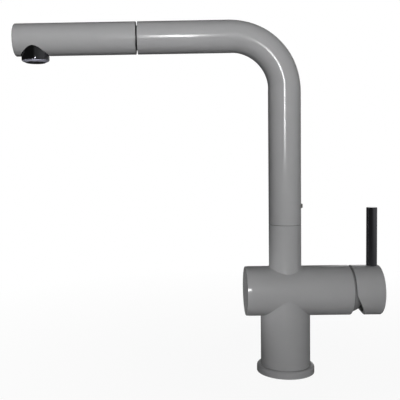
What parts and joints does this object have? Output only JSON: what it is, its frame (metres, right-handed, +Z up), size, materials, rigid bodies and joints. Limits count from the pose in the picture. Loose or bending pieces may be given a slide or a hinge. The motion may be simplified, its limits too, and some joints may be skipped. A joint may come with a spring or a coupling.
{
  "type": "pull-out mixer tap",
  "caption": "Kitchen mixer tap: horizontal body on a round foot, side lever with an upright pin, L-shaped swivel spout ending in a pull-out spray head",
  "frame": {"origin": "centre of the foot, on the worktop's plane", "axes": "+Z up, +X along the barrel towards the lever, spout towards -X at rest, pictured and used from the -Y side"},
  "size_m": [0.3139, 0.05, 0.307],
  "materials": {
    "grey_lacquer": "smooth semi-gloss neutral grey lacquer",
    "dark_chrome": "polished black chrome",
    "stainless_steel": "bright stainless steel",
    "brass": "machined brass",
    "black_plastic": "black acetal",
    "grey_plastic": "pale grey moulded plastic",
    "black_rubber": "black rubber",
    "ceramic": "polished off-white alumina ceramic",
    "hose_braid": "grey nylon-braided hose",
    "white_plastic": "white bearing plastic"
  },
  "bodies": {
    "tap": {"tap_body": "grey_lacquer", "barrel_end_disc": "grey_lacquer", "base_flange": "grey_lacquer", "inlet_block": "brass", "base_seal": "black_rubber", "neck_bush": "white_plastic", "swivel_washer": "black_plastic", "swivel_stop_pin": "stainless_steel", "cartridge_base": "grey_plastic", "port_seals": "black_rubber", "fixed_disc": "ceramic", "cartridge_shell": "grey_plastic", "cartridge_nut": "brass", "bonnet": "grey_lacquer"},
    "mixing_carrier": {"lever_carrier": "grey_plastic", "carrier_seal": "black_rubber", "lever_pivot_pin": "stainless_steel"},
    "disc_set": {"moving_disc": "ceramic", "disc_holder": "grey_plastic"},
    "lever": {"lever_stem": "stainless_steel", "lever_cap": "grey_lacquer", "lever_pin": "dark_chrome", "cap_grub_screw": "stainless_steel"},
    "spout": {"spout_tube": "grey_lacquer", "spout_grub_screw": "stainless_steel", "spout_shank": "brass", "shank_rings": "white_plastic", "shank_snap_ring": "stainless_steel", "docking_sleeve": "black_plastic", "hose_riser": "hose_braid", "hose_reach": "hose_braid"},
    "spray_head": {"handset_shell": "grey_lacquer", "docking_spigot": "black_plastic", "spigot_ring": "black_rubber", "hose_ferrule": "stainless_steel", "hose_nut": "brass", "check_valve": "grey_plastic", "handset_waterway": "black_plastic", "nozzle_housing": "dark_chrome", "aerator_body": "black_plastic", "aerator_grid": "black_plastic", "aerator_washer": "black_rubber"}
  },
  "joints": [
    {"name": "spout_swivel", "type": "hinge", "parent": "tap", "child": "spout", "pos_m": [0, 0, 0.13], "axis": [0, 0, 1], "range_deg": [-15, 195]},
    {"name": "handset_pull", "type": "slide", "parent": "spout", "child": "spray_head", "axis": [-1, 0, 0], "range_m": [0, 0.5], "deforming": ["hose_reach"]},
    {"name": "lever_turn", "type": "hinge", "parent": "tap", "child": "mixing_carrier", "pos_m": [0.052, 0, 0.0713], "axis": [1, 0, 0], "range_deg": [-45, 45]},
    {"name": "lever_lift", "type": "hinge", "parent": "mixing_carrier", "child": "lever", "pos_m": [0.052, 0, 0.0713], "axis": [0, 1, 0], "range_deg": [0, 25]},
    {"name": "disc_slide", "type": "slide", "parent": "mixing_carrier", "child": "disc_set", "axis": [0, 0, 1], "range_m": [0, 0.004]}
  ],
  "couplings": [
    {"joint": "disc_slide", "follows": "lever_lift", "m_per_rad": 0.009}
  ]
}
